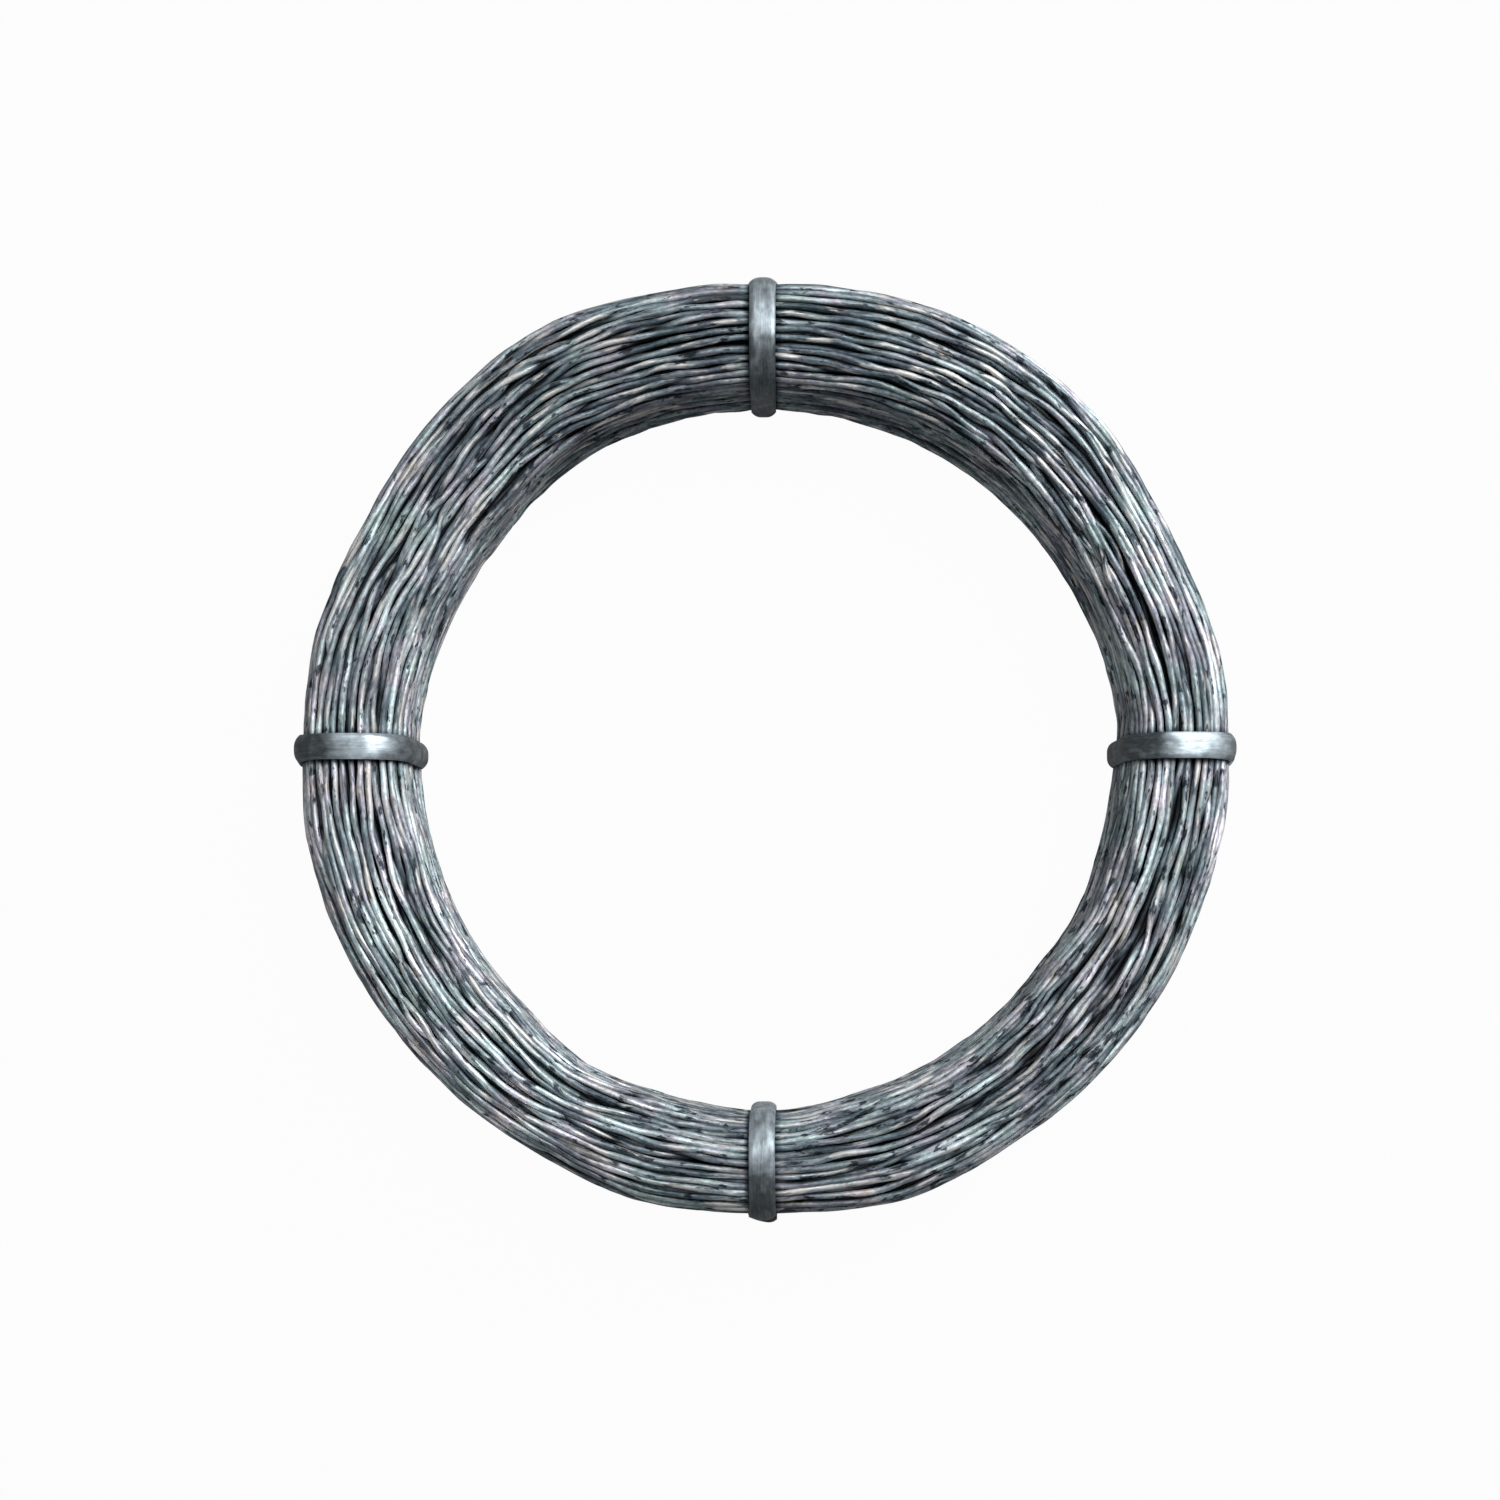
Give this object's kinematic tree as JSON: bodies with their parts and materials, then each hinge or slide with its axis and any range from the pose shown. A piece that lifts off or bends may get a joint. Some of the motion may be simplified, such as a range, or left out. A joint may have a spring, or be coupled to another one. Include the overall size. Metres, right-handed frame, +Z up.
{
  "type": "coil of high-tensile fence wire",
  "caption": "Round coil of galvanised fence wire lying flat, its turns held in a ring by steel bands, to be dropped over the arms of a wire dispenser.",
  "frame": {"origin": "on the floor, under the centre of the bore", "axes": "+Z up along the axis of the bore, +Y towards the band at the top of the picture, +X towards the band at its right"},
  "size_m": [0.3718, 0.3718, 0.064],
  "materials": {
    "galvanised_wire": "galvanised, weathered to a blue-grey with bright highlights",
    "band_steel": "galvanised strip, satin, mottled"
  },
  "bodies": {
    "root": {"wire_coil": "galvanised_wire", "band_right": "band_steel", "band_back": "band_steel", "band_left": "band_steel", "band_front": "band_steel"}
  },
  "joints": []
}
